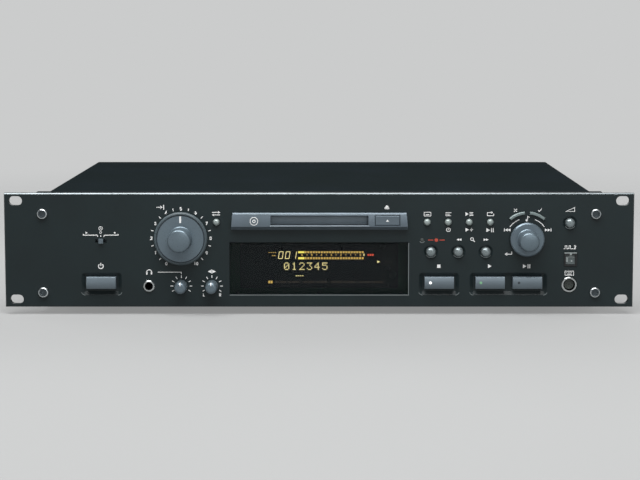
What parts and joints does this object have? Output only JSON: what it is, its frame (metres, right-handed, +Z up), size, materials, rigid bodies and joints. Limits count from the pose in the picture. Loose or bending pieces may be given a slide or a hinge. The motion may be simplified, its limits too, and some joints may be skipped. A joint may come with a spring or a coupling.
{
  "type": "minidisc deck",
  "caption": "Rack-width minidisc recorder deck with slot loading, display window, rotary level and track controls, push keys, sockets and a folded steel case.",
  "frame": {"origin": "centre of the bounding box's footprint, on the floor the feet stand on", "axes": "+X to the right of someone facing the panel, +Y from the panel to the rear, +Z up"},
  "size_m": [0.4826, 0.312, 0.0941],
  "materials": {
    "panel": "fine satin dark grey anodised and painted aluminium",
    "cover": "satin dark grey baked enamel on folded steel",
    "frame": "fine matt black moulded plastic",
    "steel": "zinc plated sheet steel",
    "screws": "black oxide steel",
    "keys": "satin blue grey moulded plastic",
    "knobs": "satin blue grey moulded plastic",
    "bezel": "satin blue grey moulded plastic",
    "door": "satin grey moulded plastic",
    "window": "smoked clear acrylic",
    "tube": "dark glass with lit segments",
    "black": "black moulded plastic",
    "nickel": "nickel plating",
    "brass": "gold plated brass",
    "rubber": "black rubber",
    "board": "green solder resist",
    "board_parts": "black and silver components",
    "core": "varnished laminations",
    "coil": "yellow taped winding",
    "drive": "zinc plated sheet steel",
    "gear": "white acetal",
    "lamp": "red diffused lens"
  },
  "bodies": {
    "deck": {"front_panel": "panel", "front_frame": "frame", "panel_screws": "screws", "front_switches": "black", "rotary_controls": "steel", "slot_bezel": "bezel", "display_window": "window", "display_tube": "tube", "phones_jack": "black", "keyboard_socket": "black", "optical_socket": "black", "record_lamp": "lamp", "front_boards": "board", "chassis_tray": "steel", "top_cover": "cover", "rear_panel": "cover", "feet": "rubber", "case_screws": "screws", "mains_inlet": "black", "rear_jacks": "brass", "case_boards": "board", "board_components": "board_parts", "transformer_core": "core", "transformer_coil": "coil", "drive_frame": "drive", "drive_stand": "steel", "dampers": "rubber", "drive_motors": "steel", "guide_rods": "nickel"},
    "selector_button": {"selector_button": "keys"},
    "display_button": {"display_button": "keys"},
    "title_button": {"title_button": "keys"},
    "mode_button": {"mode_button": "keys"},
    "repeat_button": {"repeat_button": "keys"},
    "record_button": {"record_button": "keys"},
    "search_back_button": {"search_back_button": "keys"},
    "search_forward_button": {"search_forward_button": "keys"},
    "fader_button": {"fader_button": "keys"},
    "stop_button": {"stop_button": "keys"},
    "play_button": {"play_button": "keys"},
    "ready_button": {"ready_button": "keys"},
    "edit_button": {"edit_button": "keys"},
    "yes_button": {"yes_button": "keys"},
    "eject_button": {"eject_button": "bezel"},
    "power_button": {"power_button": "keys"},
    "timer_slider": {"timer_slider": "keys"},
    "input_knob": {"input_knob": "knobs"},
    "phones_knob": {"phones_knob": "knobs"},
    "balance_knob": {"balance_knob": "knobs"},
    "track_plunger": {"track_plunger": "gear"},
    "track_dial": {"track_knob": "knobs"},
    "slot_door": {"slot_door": "door"},
    "optical_shutter": {"optical_shutter": "black"},
    "loading_slider": {"loading_slider": "gear"},
    "cartridge_holder": {"cartridge_holder": "drive"},
    "loading_gear": {"loading_gear": "gear"},
    "pickup_sled": {"pickup_sled": "black"},
    "lead_screw": {"lead_screw": "nickel"},
    "head_arm": {"head_arm": "drive"},
    "turntable": {"turntable": "nickel"}
  },
  "joints": [
    {"name": "selector_push", "type": "slide", "parent": "deck", "child": "selector_button", "axis": [0, 1, 0], "range_m": [0, 0.0008], "stiffness_N_per_m": 400, "springref_m": -0.0015},
    {"name": "display_push", "type": "slide", "parent": "deck", "child": "display_button", "axis": [0, 1, 0], "range_m": [0, 0.0008], "stiffness_N_per_m": 400, "springref_m": -0.0015},
    {"name": "title_push", "type": "slide", "parent": "deck", "child": "title_button", "axis": [0, 1, 0], "range_m": [0, 0.0008], "stiffness_N_per_m": 400, "springref_m": -0.0015},
    {"name": "mode_push", "type": "slide", "parent": "deck", "child": "mode_button", "axis": [0, 1, 0], "range_m": [0, 0.0008], "stiffness_N_per_m": 400, "springref_m": -0.0015},
    {"name": "repeat_push", "type": "slide", "parent": "deck", "child": "repeat_button", "axis": [0, 1, 0], "range_m": [0, 0.0008], "stiffness_N_per_m": 400, "springref_m": -0.0015},
    {"name": "record_push", "type": "slide", "parent": "deck", "child": "record_button", "axis": [0, 1, 0], "range_m": [0, 0.0008], "stiffness_N_per_m": 400, "springref_m": -0.0015},
    {"name": "search_back_push", "type": "slide", "parent": "deck", "child": "search_back_button", "axis": [0, 1, 0], "range_m": [0, 0.0008], "stiffness_N_per_m": 400, "springref_m": -0.0015},
    {"name": "search_forward_push", "type": "slide", "parent": "deck", "child": "search_forward_button", "axis": [0, 1, 0], "range_m": [0, 0.0008], "stiffness_N_per_m": 400, "springref_m": -0.0015},
    {"name": "fader_push", "type": "slide", "parent": "deck", "child": "fader_button", "axis": [0, 1, 0], "range_m": [0, 0.0008], "stiffness_N_per_m": 400, "springref_m": -0.0015},
    {"name": "stop_push", "type": "slide", "parent": "deck", "child": "stop_button", "axis": [0, 1, 0], "range_m": [0, 0.0008], "stiffness_N_per_m": 400, "springref_m": -0.0015},
    {"name": "play_push", "type": "slide", "parent": "deck", "child": "play_button", "axis": [0, 1, 0], "range_m": [0, 0.0008], "stiffness_N_per_m": 400, "springref_m": -0.0015},
    {"name": "ready_push", "type": "slide", "parent": "deck", "child": "ready_button", "axis": [0, 1, 0], "range_m": [0, 0.0008], "stiffness_N_per_m": 400, "springref_m": -0.0015},
    {"name": "edit_push", "type": "slide", "parent": "deck", "child": "edit_button", "axis": [0, 1, 0], "range_m": [0, 0.0008], "stiffness_N_per_m": 400, "springref_m": -0.0015},
    {"name": "yes_push", "type": "slide", "parent": "deck", "child": "yes_button", "axis": [0, 1, 0], "range_m": [0, 0.0008], "stiffness_N_per_m": 400, "springref_m": -0.0015},
    {"name": "eject_push", "type": "slide", "parent": "deck", "child": "eject_button", "axis": [0, 1, 0], "range_m": [0, 0.0008], "stiffness_N_per_m": 400, "springref_m": -0.0015},
    {"name": "power_push", "type": "slide", "parent": "deck", "child": "power_button", "axis": [0, 1, 0], "range_m": [0, 0.0035], "stiffness_N_per_m": 300, "springref_m": -0.004},
    {"name": "timer_slide", "type": "slide", "parent": "deck", "child": "timer_slider", "axis": [1, 0, 0], "range_m": [-0.0025, 0.0025]},
    {"name": "input_level_turn", "type": "hinge", "parent": "deck", "child": "input_knob", "pos_m": [-0.1059, -0.138, 0.0593], "axis": [0, 1, 0], "range_deg": [-150, 150]},
    {"name": "phones_level_turn", "type": "hinge", "parent": "deck", "child": "phones_knob", "pos_m": [-0.1059, -0.138, 0.0222], "axis": [0, 1, 0], "range_deg": [-120, 120]},
    {"name": "balance_turn", "type": "hinge", "parent": "deck", "child": "balance_knob", "pos_m": [-0.0824, -0.138, 0.0222], "axis": [0, 1, 0], "range_deg": [-120, 120]},
    {"name": "track_push", "type": "slide", "parent": "deck", "child": "track_plunger", "axis": [0, 1, 0], "range_m": [0, 0.0008], "stiffness_N_per_m": 600, "springref_m": -0.0015},
    {"name": "track_turn", "type": "hinge", "parent": "track_plunger", "child": "track_dial", "pos_m": [0.1594, -0.138, 0.0586], "axis": [0, 1, 0], "continuous": true},
    {"name": "slot_door_swing", "type": "hinge", "parent": "deck", "child": "slot_door", "pos_m": [0.00035, -0.1354, 0.0774], "axis": [1, 0, 0], "range_deg": [0, 85], "stiffness_Nm_per_rad": 0.0002, "springref_deg": -17.19},
    {"name": "optical_shutter_swing", "type": "hinge", "parent": "deck", "child": "optical_shutter", "pos_m": [0.193, -0.1366, 0.0466], "axis": [1, 0, 0], "range_deg": [0, 80], "stiffness_Nm_per_rad": 0.0001, "springref_deg": -17.19},
    {"name": "loading_slide", "type": "slide", "parent": "deck", "child": "loading_slider", "axis": [0, 1, 0], "range_m": [0, 0.012]},
    {"name": "holder_drop", "type": "slide", "parent": "deck", "child": "cartridge_holder", "axis": [0, 0, -1], "range_m": [0, 0.0045]},
    {"name": "loading_gear_turn", "type": "hinge", "parent": "deck", "child": "loading_gear", "pos_m": [-0.042, -0.094, 0.0536], "axis": [-1, 0, 0], "range_deg": [0, 137.6]},
    {"name": "sled_slide", "type": "slide", "parent": "deck", "child": "pickup_sled", "axis": [0, 1, 0], "range_m": [0, 0.017]},
    {"name": "lead_screw_turn", "type": "hinge", "parent": "deck", "child": "lead_screw", "pos_m": [-0.0315, -0.038, 0.0575], "axis": [0, 1, 0], "range_deg": [0, 3061]},
    {"name": "head_arm_lift", "type": "hinge", "parent": "pickup_sled", "child": "head_arm", "pos_m": [0, -0.0375, 0.0816], "axis": [-1, 0, 0], "range_deg": [0, 10]},
    {"name": "turntable_spin", "type": "hinge", "parent": "deck", "child": "turntable", "pos_m": [0, -0.076, 0.066], "axis": [0, 0, 1], "continuous": true}
  ],
  "couplings": [
    {"joint": "holder_drop", "follows": "loading_slide", "ratio": 0.375},
    {"joint": "loading_gear_turn", "follows": "loading_slide", "rad_per_m": 200},
    {"joint": "lead_screw_turn", "follows": "sled_slide", "rad_per_m": 3141.6}
  ]
}
